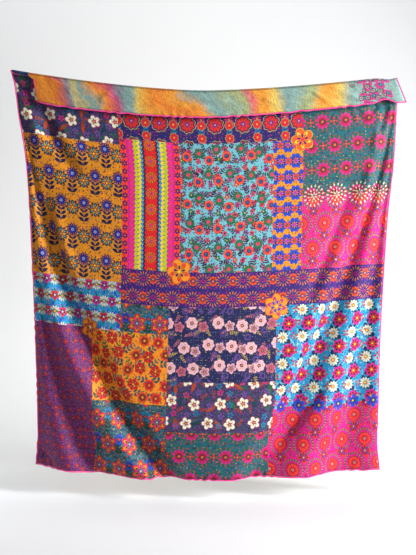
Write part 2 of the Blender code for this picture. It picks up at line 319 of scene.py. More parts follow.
# Screen colours of the print, red, green and blue out of 255
inks = {
    "teal": (0, 120, 132), "deepTeal": (0, 92, 108), "turquoise": (0, 160, 200), "sky": (134, 198, 208),
    "skyPale": (186, 214, 232), "blue": (18, 96, 216), "navy": (34, 42, 104), "indigo": (50, 30, 118),
    "violet": (74, 34, 140), "softViolet": (132, 74, 176), "plum": (88, 18, 82), "mauve": (158, 88, 158),
    "lilac": (150, 112, 190), "dusty": (96, 82, 140), "magenta": (220, 16, 156), "rose": (238, 62, 158),
    "pink": (242, 36, 118), "blush": (238, 196, 200), "shell": (222, 140, 158), "cream": (240, 240, 216),
    "red": (226, 36, 46), "coral": (246, 84, 62), "brick": (164, 62, 60), "orange": (246, 112, 40),
    "amber": (244, 166, 40), "mustard": (228, 162, 36), "lemon": (244, 216, 70), "lime": (196, 208, 50),
    "leaf": (34, 138, 84), "deepLeaf": (22, 96, 74), "slate": (88, 124, 134), "rust": (206, 96, 58),
    "washAmber": (230, 166, 72), "washYellow": (222, 194, 112), "washTeal": (150, 176, 170),
    "washOrange": (228, 142, 58), "washMauve": (168, 96, 148), "washPink": (218, 116, 128),
    "washSage": (176, 182, 138), "edge": (255, 84, 176),
}

# The motifs of the print, in millimetres. Each is painted with one ink, with stops from its middle out, or
# with several inks to pick from for each cell. It may be moved, turned, swung on a wave or set in a ring,
# which is how many, how far out, and the degrees that the first is turned by.
def painted(shape, size, paint, place):
    if isinstance(paint[0], tuple):
        return {shape: size, "stops": paint, **place}
    if len(paint) > 1:
        return {shape: size, "pick": paint, **place}
    return {shape: size, "ink": paint[0], **place}


# Radius, how many lobes, and how deep the cuts between them are
def bloom(radius, lobes, cut, *paint, **place):
    return painted("bloom", (radius, lobes, cut), paint, place)


def dot(radius, *paint, **place):
    return bloom(radius, 0, 0, *paint, **place)


# Length, width, and fullness: above 1 it is widest past its middle
def leaf(long, wide, full, *paint, **place):
    return painted("leaf", (long, wide, full), paint, place)


# How many, how far their feet are from the middle, and the leaf that each of them is
def petals(count, distance, long, wide, full, *paint, start=0, **place):
    return leaf(long, wide, full, *paint, ring=(count, distance, start), **place)


# Length of the stem, length and width of its leaves, and the gap from one pair to the next
def sprig(long, leafLong, leafWide, gap, *paint, **place):
    return painted("sprig", (long, leafLong, leafWide, gap), paint, place)


# Small leaves or dots scattered over a ground: cell, size, the share of cells used, and inks
def tossed(cell, long, share, *paint):
    motifs = (leaf(long, long * 0.42, 1, *paint, move=(-long / 2, 0)),)
    return dict(cell=(cell, cell * 0.94), jitter=0.75, spin=1, share=share, motifs=motifs)


def dotted(cell, radius, share, *paint):
    return dict(cell=(cell, cell * 0.94), jitter=0.7, share=share, motifs=(dot(radius, *paint),))


# Motifs that show once, in one square cell
def single(left, top, size, *motifs):
    window = (left, left + size, top, top + size)
    return dict(cell=(size, size), origin=(left, top), only=window, motifs=motifs)


# Each motif, then the same one on the other side of its cell's middle line
def mirrored(*motifs):
    pairs = []
    for one in motifs:
        other = {**one, "move": (-one["move"][0], one["move"][1])}
        if "turn" in one:
            other["turn"] = 180 - one["turn"]
        pairs += [one, other]
    return pairs


# Each panel of the print: where it is on the flat cloth (left, right, top, bottom), its ground, and the
# layers over it. A layer repeats its motifs on cells, whose rows may be staggered and whose motifs may be
# jittered and spun at random. All of it is in millimetres.
panels = {
    "tealStars": {
        "places": ((1140, 1520, -130, 420), (600, 1040, 1330, 1515)), "ground": "teal",
        "layers": (
            dict(speckle=60, cover=0.25, ink="deepTeal"),
            tossed(15, 11, 0.95, "leaf", "rust", "deepLeaf", "brick", "leaf"),
            dotted(13, 2.5, 0.45, "coral", "lemon", "magenta"),
            dict(cell=(94, 92), stagger=0.5, motifs=(
                bloom(30, 12, 0.1, "teal"), petals(12, 27, 15, 8, 1, "leaf"),
                bloom(4, 5, 0.2, "rust", ring=(12, 36, 15)), petals(10, 4, 27, 15, 1.5, "magenta"),
                petals(10, 4, 20, 7, 1.3, "red", start=18), petals(10, 3, 12, 5, 1.2, "plum"),
                bloom(6, 8, 0.25, (0, "red"), (0.5, "amber")))),
            dict(cell=(94, 92), origin=(47, 0), stagger=0.5, motifs=(
                bloom(15, 6, 0.2, "deepTeal"), petals(2, 4, 30, 9, 1, "leaf", start=90),
                petals(4, 1, 15, 10, 1.3, "coral", start=45),
                petals(4, 3, 9, 4, 1.2, "magenta", start=45), dot(3, "lemon"))))},
    "magentaWheels": {
        "places": ((1140, 1520, 420, 700), (1040, 1520, 1240, 1515)), "ground": "magenta",
        "layers": (
            dict(speckle=70, cover=0.3, ink="pink"),
            tossed(15, 10, 0.8, "plum", "red", "leaf", "rose", "violet"),
            dotted(13, 2.4, 0.4, "lime", "blush", "indigo"),
            dict(cell=(95, 96), stagger=0.5, motifs=(
                bloom(43, 20, 0.05, "magenta"), petals(22, 32, 11, 6, 1, "leaf"),
                dot(2.6, "lime", ring=(22, 39, 8)),
                bloom(30, 16, 0.16, (0, "blue"), (0.1, "amber"), (0.2, "plum"), (0.28, "red"), (0.5, "coral"),
                      (0.7, "red"), (0.84, "plum"), (0.9, "pink")),
                petals(16, 19, 6, 3.4, 1, "amber"), petals(8, 9, 8, 4, 1, "rose"))),
            dict(cell=(95, 96), origin=(0, 48), stagger=0.5, motifs=(
                petals(4, 2, 25, 17, 1.3, "coral", start=45), petals(4, 5, 16, 8, 1.3, "brick", start=45),
                petals(4, 4, 19, 8, 1, "softViolet"), bloom(5.5, 6, 0.2, (0, "lemon"), (0.5, "blue")))))},
    "skyBuds": {
        "places": ((640, 1020, 200, 700),), "ground": "sky",
        "layers": (
            tossed(16, 11, 0.75, "plum", "plum", "leaf", "indigo"),
            dict(cell=(42, 46), jitter=0.5, spin=0.4, motifs=(
                sprig(40, 17, 8, 10, "plum", move=(0, 18)),)),
            dict(cell=(50, 44), origin=(20, 30), jitter=0.6, spin=1, motifs=(
                sprig(36, 14, 7, 9, "plum", move=(0, 16)),)),
            dict(cell=(37, 35), jitter=0.5, spin=1, motifs=(
                petals(5, 1, 12, 9, 1.2, "pink", "coral", "leaf", "mauve", "magenta"),
                dot(3.4, "plum", "lemon", "plum"))),
            dict(cell=(84, 92), stagger=0.5, jitter=0.2, motifs=(
                bloom(21, 14, 0.24, (0, "coral"), (0.3, "mauve"), (0.45, "leaf")),
                petals(14, 12, 6, 2.4, 1, "deepLeaf"))),
            dict(cell=(84, 92), origin=(40, 26), stagger=0.5, jitter=0.2, motifs=(
                bloom(21, 9, 0.2, (0, "teal"), (0.32, "violet"), (0.5, "coral")),
                petals(9, 11, 8, 3, 1, "lemon"))),
            dotted(14, 2.6, 0.5, "pink", "leaf", "coral", "magenta"))},
    "blueChain": {
        "places": ((1020, 1140, 200, 700),), "ground": "mustard",
        "layers": (
            tossed(14, 10, 0.9, "rust", "navy", "leaf", "teal"),
            dict(cell=(60, 62), stagger=0.5, motifs=(
                petals(8, 4, 27, 18, 1.5, "blue"), petals(8, 5, 15, 5, 1.2, "indigo"),
                bloom(9, 8, 0.2, (0, "blue"), (0.45, "magenta")))),
            dict(cell=(60, 62), origin=(30, 0), stagger=0.5, motifs=(
                petals(6, 1, 15, 10, 1.3, "orange"), petals(6, 2, 9, 5, 1.3, "pink", start=30),
                dot(4, "leaf"))))},
    "mustardTulips": {
        "places": ((0, 400, 220, 760),), "ground": "mustard",
        "layers": (
            dict(speckle=45, cover=0.2, ink="amber"),
            tossed(19, 12, 0.8, "navy", "softViolet", "rust", "deepTeal"),
            dotted(13, 2.3, 0.4, "navy", "plum", "teal"),
            dict(cell=(96, 108), stagger=0.5, motifs=(
                dot(40, "mustard"), sprig(70, 38, 16, 18, "navy", move=(0, 52)),
                bloom(25, 12, 0.14, "violet", move=(0, -22)),
                petals(12, 13, 10, 5, 1.2, "mustard", move=(0, -22)),
                dot(2.6, "rust", ring=(12, 27, 0), move=(0, -22)),
                bloom(11, 8, 0.2, (0, "red"), (0.3, "sky"), (0.55, "blue"), move=(0, -22)))),
            dict(cell=(96, 108), origin=(48, 0), stagger=0.5, motifs=(
                dot(27, "mustard"), petals(6, 5, 24, 15, 1.4, "deepTeal"),
                petals(6, 8, 15, 6, 1.3, "sky"), petals(6, 17, 15, 8, 1, "plum", start=30),
                dot(2.6, "violet", ring=(6, 30, 30)), bloom(9, 8, 0.2, (0, "lemon"), (0.4, "rust")))))},
    "turquoiseDaisies": {
        "places": ((0, 400, 760, 950),), "ground": "turquoise",
        "layers": (
            dict(speckle=60, cover=0.3, ink="blue"),
            tossed(14, 9, 0.85, "deepTeal", "lemon", "pink", "cream", "indigo"),
            dotted(12, 2.4, 0.4, "lemon", "cream", "indigo"),
            dict(cell=(66, 62), stagger=0.5, motifs=(
                petals(12, 5, 20, 8, 1.1, "cream"), bloom(7, 8, 0.2, (0, "lemon"), (0.6, "rust")))),
            dict(cell=(66, 62), origin=(33, 0), stagger=0.5, motifs=(
                petals(4, 10, 19, 9, 1, "leaf", start=45),
                petals(5, 1, 20, 16, 1.3, "pink", "magenta", "red", start=18),
                petals(5, 2, 11, 6, 1.2, "plum", start=18), dot(4, "cream"))))},
    "plumSeeds": {
        "places": ((0, 260, 950, 1515),), "ground": "plum",
        "layers": (
            dict(speckle=110, cover=0.72, ink="mauve"), dict(speckle=150, cover=0.62, ink="brick"),
            dict(speckle=210, cover=0.5, ink="violet"),
            tossed(12, 8, 0.7, "magenta", "navy", "lilac", "brick"),
            dotted(10, 2.2, 0.45, "rose", "lilac", "turquoise"),
            dict(cell=(34, 38), jitter=0.5, motifs=(
                petals(5, 1, 9, 7, 1.2, "red"), dot(2.6, "amber"))),
            dict(cell=(34, 38), origin=(17, 19), jitter=0.5, motifs=(dot(3, "lilac"),)))},
    "orangeLeaves": {
        "places": ((260, 600, 950, 1230),), "ground": "amber",
        "layers": (
            tossed(15, 10, 0.8, "teal", "lemon", "leaf", "brick"),
            dict(cell=(52, 58), jitter=0.4, spin=0.7, motifs=(
                sprig(54, 26, 12, 16, "teal", "leaf", "teal", move=(0, 22)),)),
            dict(cell=(62, 56), stagger=0.5, jitter=0.25, spin=1, motifs=(
                petals(6, 2, 24, 18, 1.4, "red", "coral", "orange"),
                petals(6, 3, 14, 8, 1.3, "orange", "red", "brick", start=30),
                petals(6, 4, 12, 4, 1.3, "plum"), dot(4, "lemon"))),
            dotted(21, 3.2, 0.4, "coral", "lemon", "red"))},
    "indigoRosettes": {
        "places": ((400, 1140, -130, 200),), "ground": "indigo",
        "layers": (
            dict(speckle=70, cover=0.35, ink="violet"),
            tossed(14, 9, 0.7, "turquoise", "coral", "blue", "rose"),
            dotted(12, 2.2, 0.4, "turquoise", "amber", "rose"),
            dict(cell=(112, 96), origin=(456, 79), motifs=(
                sprig(52, 24, 8, 12, "turquoise", move=(0, 40)),
                petals(7, 2, 17, 9, 1.3, "rose", move=(0, -20)), dot(5, "amber", move=(0, -20)))),
            dict(cell=(112, 50), origin=(456, 155), motifs=(
                bloom(20, 7, 0.2, "washYellow"), bloom(17.5, 7, 0.2, "red"),
                petals(7, 4, 11, 5, 1.3, "pink"), dot(4, "lemon"))),
            dict(cell=(112, 96), origin=(400, 79), motifs=(
                bloom(37, 9, 0.16, "washYellow"), bloom(34, 9, 0.16, "indigo"),
                petals(9, 4, 26, 17, 1.4, "red"), petals(9, 7, 16, 7, 1.4, "coral"),
                dot(2.8, "rose", ring=(9, 10, 20)), bloom(7, 6, 0.2, (0, "amber"), (0.5, "blue")))))},
    "slateBlooms": {
        "places": ((400, 600, 840, 950), (260, 600, 1230, 1515)), "ground": "slate",
        "layers": (
            dict(speckle=90, cover=0.5, ink="deepTeal"),
            tossed(15, 10, 0.85, "deepLeaf", "turquoise", "indigo", "lemon"),
            dotted(13, 2.4, 0.45, "lemon", "coral", "turquoise"),
            dict(cell=(94, 96), origin=(47, 0), stagger=0.5, motifs=(
                sprig(56, 26, 11, 14, "deepLeaf", move=(0, 34)),
                petals(7, 2, 21, 13, 1.3, "turquoise", "blue", move=(0, -20)),
                petals(7, 3, 12, 5, 1.3, "navy", move=(0, -20)), dot(5, "red", move=(0, -20)))),
            dict(cell=(94, 96), stagger=0.5, motifs=(
                petals(6, 4, 36, 24, 1.5, "red"), petals(6, 6, 27, 14, 1.5, "amber"),
                petals(6, 8, 18, 6, 1.4, "plum"), petals(6, 6, 22, 9, 1.2, "rose", start=30),
                bloom(8, 6, 0.2, (0, "lime"), (0.5, "blue")))),
            dotted(24, 2.6, 0.35, "coral"))},
    "dustyPoppies": {
        "places": ((0, 400, -130, 220), (600, 1040, 1130, 1330)), "ground": "dusty",
        "layers": (
            dict(speckle=80, cover=0.5, ink="deepTeal"), dict(speckle=130, cover=0.45, ink="plum"),
            tossed(14, 9, 0.6, "mauve", "leaf", "rust", "navy"),
            dotted(12, 2.3, 0.45, "turquoise", "rose", "lilac"),
            dict(cell=(76, 70), jitter=0.5, spin=1, motifs=(
                leaf(54, 17, 0.9, "rust", "leaf", "deepTeal", "rust", move=(-26, 0)),)),
            dict(cell=(48, 52), origin=(14, 20), jitter=0.6, spin=1, motifs=(
                sprig(34, 15, 6, 11, "rust", "leaf", move=(0, 16)),)),
            dict(cell=(46, 41), origin=(60, 51), jitter=0.4, spin=1, share=0.7, motifs=(
                petals(5, 1, 13, 9, 1.3, "turquoise", "rose", "lilac"),)),
            dict(cell=(92, 82), origin=(30, 23), stagger=0.5, jitter=0.2, motifs=(
                bloom(27, 5, 0.4, "rose"),
                bloom(25, 5, 0.4, (0, "amber"), (0.16, "deepLeaf"), (0.3, "shell"), (0.45, "cream")),
                petals(15, 9, 8, 2, 1, "brick"))))},
    "violetGarland": {
        "places": ((400, 1520, 700, 840),), "ground": "violet",
        "layers": (
            dict(speckle=90, cover=0.4, ink="indigo"),
            tossed(13, 8, 0.8, "mauve", "magenta", "indigo", "lilac"),
            dotted(12, 2.2, 0.4, "amber", "turquoise", "rose"),
            dict(cell=(82, 70), stagger=0.5, motifs=(
                dot(24, "violet"), petals(10, 4, 18, 11, 1.3, "orange"), petals(10, 5, 10, 4, 1.3, "red"),
                bloom(7, 8, 0.2, (0, "amber"), (0.5, "mauve")),
                petals(6, 23, 10, 7, 1, "magenta", start=30))),
            dict(cell=(82, 70), origin=(41, 0), stagger=0.5, motifs=(
                petals(14, 9, 23, 5.4, 1.7, "amber"), petals(2, 9, 24, 9, 1.5, "violet", start=90),
                petals(6, 2, 9, 6, 1.2, "magenta"), dot(3.4, "turquoise", ring=(2, 26, 90)))))},
    "navyBlossoms": {
        "places": ((600, 1040, 840, 1130),), "ground": "navy",
        "layers": (
            dict(cell=(10, 10), jitter=0.3, share=0.5, motifs=(dot(1.7, "skyPale"),)),
            tossed(17, 10, 0.6, "lilac", "softViolet", "washYellow"),
            dict(cell=(50, 48), jitter=0.6, spin=1, motifs=(
                sprig(38, 14, 5.5, 9, "washYellow", "lilac", "shell", move=(0, 18)),)),
            dict(cell=(94, 86), origin=(47, 12), stagger=0.5, jitter=0.3, spin=1, motifs=(
                petals(5, 1, 22, 18, 1.3, "shell", "blush"), petals(5, 4, 12, 5, 1.3, "rose"),
                dot(5.5, (0, "amber"), (0.5, "navy")))),
            dict(cell=(94, 86), stagger=0.5, jitter=0.3, spin=1, motifs=(
                bloom(26, 7, 0.16, (0, "amber"), (0.15, "navy"), (0.3, "blush")),
                petals(14, 9, 9, 2, 1, "shell"))),
            dict(cell=(94, 86), origin=(20, 43), stagger=0.5, jitter=0.4, motifs=(
                petals(13, 4, 13, 4.6, 1, "lilac"),)))},
    "lagoonVines": {
        "places": ((1040, 1520, 840, 1240),), "ground": "turquoise",
        "layers": (
            dict(speckle=60, cover=0.35, ink="sky"),
            tossed(15, 10, 0.75, "indigo", "cream", "blue", "deepTeal"),
            dotted(12, 2.4, 0.4, "cream", "magenta", "indigo"),
            dict(cell=(80, 4000), motifs=(
                sprig(3980, 28, 13, 19, "navy", move=(0, 1990), wave=(12, 104), even=True),)),
            dict(cell=(80, 104), origin=(12, 26), motifs=(
                petals(7, 2, 28, 20, 1.4, "magenta"), petals(7, 3, 18, 9, 1.4, "plum"),
                petals(7, 1, 14, 8, 1.3, "coral", start=26), dot(5, "lemon"))),
            dict(cell=(80, 104), origin=(-12, 78), motifs=(
                petals(11, 3, 21, 10, 1.3, "cream"), dot(2.4, "violet", ring=(11, 24, 16)),
                bloom(7, 7, 0.2, (0, "lemon"), (0.55, "orange")))),
            dict(cell=(80, 52), origin=(40, 0), jitter=0.2, spin=1, motifs=(
                petals(4, 3, 14, 8, 1, "red"), dot(3, "lemon"))))},
    "warmStripes": {
        "places": ((400, 640, 200, 700),), "ground": "orange",
        "layers": (
            dict(bands=240, start=400, wave=(2.4, 17), stops=(
                (0, "coral"), (0.1, "magenta"), (0.13, "rose"), (0.22, "lime"), (0.28, "lemon"),
                (0.33, "turquoise"), (0.37, "plum"), (0.4, "red"), (0.6, "plum"), (0.63, "turquoise"),
                (0.67, "lemon"), (0.72, "lime"), (0.78, "rose"), (0.87, "magenta"), (0.9, "coral"))),
            dict(cell=(240, 31), origin=(400, 0), motifs=mirrored(
                petals(6, 1, 12, 8, 1.3, "violet", move=(-108, 0)), dot(3, "amber", move=(-108, 0)),
                leaf(15, 8, 1, "orange", move=(-82, 8), turn=90))),
            dict(cell=(240, 17), origin=(400, 0), motifs=(
                *mirrored(leaf(16, 6, 1, "blue", move=(-58, -5), turn=25),
                          bloom(3, 4, 0.3, "cream", move=(-34, 0)), dot(2.6, "violet", move=(-70, 0))),
                petals(2, 14, 9, 4, 1, "leaf"))),
            dict(cell=(240, 62), origin=(400, 0), motifs=(
                bloom(24, 12, 0.15, "orange"), petals(12, 9, 14, 6, 1.3, "amber"),
                petals(12, 9, 11, 3.4, 1.3, "plum", start=15), petals(6, 2, 9, 5, 1.2, "magenta"),
                dot(3.4, "blue"))))},
}
# Motifs that run over the joins between panels, on the cells whose centres are in a window of the flat cloth
overprints = (
    dict(cell=(94, 94), origin=(1140, 373), only=(1140, 1520, 366, 474), motifs=(
        petals(15, 30, 15, 7, 1.2, "cream"), petals(11, 16, 13, 6, 1.1, "cream", start=12),
        petals(6, 1, 16, 6, 1.1, "cream"))),
    dict(cell=(84, 84), origin=(1040, 1198), only=(1040, 1520, 1190, 1292), motifs=(
        sprig(84, 22, 9, 14, "navy", move=(-42, 0), turn=90, even=True),
        petals(6, 3, 25, 18, 1.5, "blue"), petals(6, 3, 12, 6, 1, "indigo", start=30), dot(5, "lime"))),
    single(580, 640, 120,
        bloom(53, 5, 0.3, "orange"), bloom(50, 5, 0.3, "amber"),
        petals(5, 8, 34, 17, 1.3, "coral", start=18), petals(5, 8, 22, 7, 1.3, "amber", start=18),
        petals(5, 6, 20, 10, 1.2, "indigo", start=54), bloom(7, 6, 0.2, "lemon")),
    single(980, 780, 120,
        bloom(53, 6, 0.28, "orange"), bloom(50, 6, 0.28, "amber"),
        petals(6, 8, 33, 15, 1.3, "magenta", start=15), petals(6, 10, 20, 6, 1.3, "lemon", start=15),
        petals(6, 6, 20, 9, 1.2, "blue", start=45), bloom(7, 6, 0.2, "lemon")),
    single(1085, 145, 110,
        bloom(48, 5, 0.3, "lemon"), bloom(45, 5, 0.3, "orange"),
        petals(5, 7, 30, 15, 1.3, "lemon", start=18), petals(5, 9, 18, 6, 1.3, "red", start=18),
        petals(5, 6, 18, 9, 1.2, "violet", start=54), dot(6, "pink")),
    single(205, 895, 110,
        bloom(48, 6, 0.28, "orange"), bloom(45, 6, 0.28, "amber"),
        petals(6, 7, 29, 13, 1.3, "red", start=15), petals(6, 9, 18, 5, 1.3, "amber", start=15),
        petals(6, 6, 17, 8, 1.2, "indigo", start=45), dot(6, "cream")),
)
# A speckle shows where its noise passes a level between these two, by the cover asked for
speckle = {"barest": 0.65, "range": 0.3, "crispness": 14.0}
dye = {"depth": 1.36, "outline": 0.0028, "outlineShade": 0.8, "petalShade": 0.5, "softEdge": 0.0007,
       "stem": 0.0024, "sprigTaper": 0.5}
pile = {"roughness": 0.66, "brushedRoughness": 0.5, "sheen": 0.1, "sheenRoughness": 0.3,
        "specular": 0.4, "bump": 0.0016, "bumpStrength": 0.6, "fuzz": 0.0022, "tuft": 620.0, "clump": 0.3,
        "brush": 11.0, "grain": 1.0, "brushing": 0.22}


# A screen colour as Blender's linear one, deepened by a power as dye deepens in pile.
def ink(name):
    share = np.array(inks[name]) / 255
    linear = np.where(share <= 0.04045, share / 12.92, ((share + 0.055) / 1.055) ** 2.4)
    return (*(linear ** dye["depth"]).tolist(), 1.0)


# A node's output that can stand in a sum: each operator adds a Math node to the same tree.
class Value:
    def __init__(self, wiring, socket):
        self.wiring, self.socket = wiring, socket

    def __add__(self, other):
        return self.wiring.math("ADD", self, other)

    def __sub__(self, other):
        return self.wiring.math("SUBTRACT", self, other)

    def __rsub__(self, other):
        return self.wiring.math("SUBTRACT", other, self)

    def __mul__(self, other):
        return self.wiring.math("MULTIPLY", self, other)

    def __truediv__(self, other):
        return self.wiring.math("DIVIDE", self, other)

    def __rtruediv__(self, other):
        return self.wiring.math("DIVIDE", other, self)

    def __mod__(self, other):
        return self.wiring.math("FLOORED_MODULO", self, other)

    def __pow__(self, other):
        return self.wiring.math("POWER", self, other)

    def __gt__(self, other):
        return self.wiring.math("GREATER_THAN", self, other)

    def __lt__(self, other):
        return self.wiring.math("LESS_THAN", self, other)

    def __abs__(self):
        return self.wiring.math("ABSOLUTE", self)

    def clamped(self):  # held between 0 and 1
        self.socket.node.use_clamp = True
        return self


# Short calls for the nodes of one tree: each adds a node, feeds its inputs and gives its output back.
class Wiring:
    def __init__(self, tree):
        self.tree = tree

    def node(self, kind, feeds=None, **settings):
        made = self.tree.nodes.new("ShaderNode" + kind)
        count = len(self.tree.nodes)
        made.location = (200 * (count % 14), -260 * (count // 14))
        for name, value in settings.items():
            setattr(made, name, value)
        self.feedAll(made.inputs, feeds or {})
        return made

    def feed(self, socket, value):
        value = value.socket if isinstance(value, Value) else value
        if isinstance(value, bpy.types.NodeSocket):
            self.tree.links.new(value, socket)
        else:
            socket.default_value = value

    def feedAll(self, sockets, values):
        for name, value in values.items():
            self.feed(sockets[name], value)

    def named(self, sockets):
        return {socket.name: Value(self, socket) for socket in sockets if socket.name}

    def math(self, operation, *values):
        return Value(self, self.node("Math", dict(enumerate(values)), operation=operation).outputs[0])

    def vector(self, operation, *values):
        return self.node("VectorMath", dict(enumerate(values)), operation=operation).outputs[0]

    def length(self, vector):
        return Value(self, self.node("VectorMath", {0: vector}, operation="LENGTH").outputs["Value"])

    def scaled(self, vector, factor):
        vector = vector[:3] if isinstance(vector, tuple) else vector
        return self.node("VectorMath", {0: vector, "Scale": factor}, operation="SCALE").outputs[0]

    def turned(self, vector, angle):
        feeds = {"Vector": vector, "Angle": angle}
        return self.node("VectorRotate", feeds, rotation_type="Z_AXIS").outputs[0]

    def split(self, vector):
        return [Value(self, part) for part in self.node("SeparateXYZ", {0: vector}).outputs]

    def join(self, x, y, z=0.0):
        return self.node("CombineXYZ", {0: x, 1: y, 2: z}).outputs[0]

    def mix(self, share, first, second):
        return self.node("Mix", {"Factor": share, 6: first, 7: second}, data_type="RGBA").outputs[2]

    def noise(self, place, scale, detail=2.0):
        return self.named(self.node("TexNoise", {"Vector": place, "Scale": scale, "Detail": detail}).outputs)

    def ramp(self, share, stops, interpolation="CONSTANT"):
        made = self.node("ValToRGB", {"Fac": share})
        made.color_ramp.interpolation = interpolation
        elements = made.color_ramp.elements
        elements[0].position, elements[0].color = stops[0][0], ink(stops[0][1])
        elements[1].position, elements[1].color = stops[-1][0], ink(stops[-1][1])
        for at, name in stops[1:-1]:
            elements.new(at).color = ink(name)
        return made.outputs["Color"]

    def group(self, name, feeds):
        made = self.node("Group", node_tree=bpy.data.node_groups[name])
        self.feedAll(made.inputs, feeds)
        return self.named(made.outputs)

    def bump(self, height, distance, strength):
        return self.node("Bump", {"Height": height, "Distance": distance, "Strength": strength}).outputs[0]


# What each motif's group gives back
motifOutputs = {"Mask": "Float", "Share": "Float", "Shade": "Float"}


# A new node group: its named inputs with their first values, and its named outputs.
def newGroup(name, inputs, outputs):
    tree = bpy.data.node_groups.new(name, "ShaderNodeTree")
    for label, value in inputs.items():
        kind = "NodeSocketVector" if isinstance(value, tuple) else "NodeSocketFloat"
        tree.interface.new_socket(label, in_out="INPUT", socket_type=kind).default_value = value
    for label, kind in outputs.items():
        tree.interface.new_socket(label, in_out="OUTPUT", socket_type="NodeSocket" + kind)
    w = Wiring(tree)
    return w, w.named(tree.nodes.new("NodeGroupInput").outputs), tree.nodes.new("NodeGroupOutput").inputs


# The cloth in equal cells, each second row pushed along by the stagger. The local place is measured from the
# cell's centre, moved and turned by the cell's own random numbers.
def makeCells():
    w, enter, leave = newGroup("printCells", {
        "Place": (0, 0, 0), "Origin": (0, 0, 0), "Width": 0.1, "Height": 0.1, "Stagger": 0.0, "Jitter": 0.0,
        "Spin": 0.0}, {"Local": "Vector", "Centre": "Vector", "Random": "Float"})
    across, down, _ = w.split(w.vector("SUBTRACT", enter["Place"], enter["Origin"]))
    row = w.math("FLOOR", down / enter["Height"])
    push = row % 2.0 * enter["Stagger"]
    column = w.math("FLOOR", across / enter["Width"] + push)
    centreX = (column + 0.5 - push) * enter["Width"]
    centreY = (row + 0.5) * enter["Height"]
    seed = w.join(column, row, enter["Width"])
    random = w.named(w.node("TexWhiteNoise", {"Vector": seed}, noise_dimensions="3D").outputs)
    shift = w.vector("SUBTRACT", random["Color"], (0.5, 0.5, 0.5))
    shift = w.vector("MULTIPLY", shift, w.join(enter["Width"], enter["Height"]))
    centre = w.join(centreX, centreY)
    local = w.vector("SUBTRACT", w.join(across, down), centre)
    local = w.vector("SUBTRACT", local, w.scaled(shift, enter["Jitter"]))
    angle = (random["Value"] - 0.5) * enter["Spin"]
    w.feed(leave["Local"], w.turned(local, angle * (2 * np.pi)))
    w.feed(leave["Centre"], w.vector("ADD", centre, enter["Origin"]))
    w.feed(leave["Random"], random["Value"])


# The plane cut into equal slices about the centre, all laid on the first, and drawn in to a distance.
def makeRing():
    w, enter, leave = newGroup("printRing", {"Local": (0, 0, 0), "Count": 8.0, "Distance": 0.0, "Turn": 0.0},
                               {"Local": "Vector"})
    x, y, _ = w.split(enter["Local"])
    radius = w.length(w.join(x, y))
    wedge = 2 * np.pi / enter["Count"]
    angle = w.math("ARCTAN2", y, x) + enter["Turn"]
    share = w.math("FRACT", angle / wedge) - 0.5
    angle = share * wedge
    out = radius * w.math("COSINE", angle) - enter["Distance"]
    w.feed(leave["Local"], w.join(out, radius * w.math("SINE", angle)))


# How much darker a motif is drawn near its edge.
def outlineShade(w, inside):
    near = (1.0 - inside / dye["outline"]).clamped()
    return near * dye["outlineShade"]


# A leaf along x: its half width is a sine of the share of its length, whose power moves the widest place.
def makeLeaf():
    w, enter, leave = newGroup("printLeaf", {
        "Local": (0, 0, 0), "Length": 0.02, "Width": 0.01, "Fullness": 1.0, "Soft": dye["softEdge"]},
        motifOutputs)
    x, y, _ = w.split(enter["Local"])
    share = (x / enter["Length"]).clamped()
    wide = w.math("SINE", share ** enter["Fullness"] * np.pi)
    half = wide * (enter["Width"] * 0.5)
    inside = half - abs(y)
    shadeAtBase = (1.0 - share) * dye["petalShade"]
    w.feedAll(leave, {"Mask": (inside / enter["Soft"]).clamped(), "Share": share,
                      "Shade": w.math("MAXIMUM", shadeAtBase, outlineShade(w, inside))})


# A round flower: the edge is the radius, drawn in between the lobes, and the share runs from the middle to
# that edge.
def makeBloom():
    w, enter, leave = newGroup("printBloom", {
        "Local": (0, 0, 0), "Radius": 0.02, "Lobes": 6.0, "Cut": 0.0, "Soft": dye["softEdge"]},
        motifOutputs)
    x, y, _ = w.split(enter["Local"])
    radius = w.length(w.join(x, y))
    angle = w.math("ARCTAN2", y, x) * (enter["Lobes"] * 0.5)
    notch = 1.0 - abs(w.math("SINE", angle))
    edge = enter["Radius"] * (1.0 - notch * enter["Cut"])
    inside = edge - radius
    w.feedAll(leave, {"Mask": (inside / enter["Soft"]).clamped(), "Share": (radius / edge).clamped(),
                      "Shade": outlineShade(w, inside)})


# A stem going up from the local centre with a pair of leaves at each gap, at 45 degrees, smaller towards the
# tip.
def makeSprig():
    w, enter, leave = newGroup("printSprig", {
        "Local": (0, 0, 0), "Length": 0.05, "Leaf": 0.015, "Leaf Width": 0.005, "Gap": 0.01, "Shrink": 0.5,
        "Stem": dye["stem"], "Soft": dye["softEdge"]}, motifOutputs)
    x, y, _ = w.split(enter["Local"])
    side, up = abs(x), y * -1.0
    share = (up / enter["Length"]).clamped()
    foot = (up / enter["Soft"]).clamped()
    tip = ((enter["Length"] - up) / enter["Soft"]).clamped()
    stem = ((enter["Stem"] * 0.5 - side) / enter["Soft"]).clamped()
    above = w.math("FRACT", up / enter["Gap"]) * enter["Gap"]
    smaller = 1.0 - share * enter["Shrink"]
    slant = (side + above) * np.sqrt(0.5)
    off = abs((side - above) * np.sqrt(0.5))
    leafShare = (slant / (enter["Leaf"] * smaller)).clamped()
    half = w.math("SINE", leafShare * np.pi) * enter["Leaf Width"] * smaller * 0.5
    leaves = ((half - off) / enter["Soft"]).clamped()
    w.feedAll(leave, {"Mask": w.math("MAXIMUM", stem, leaves) * (foot * tip), "Share": share,
                      "Shade": (1.0 - share) * dye["petalShade"]})


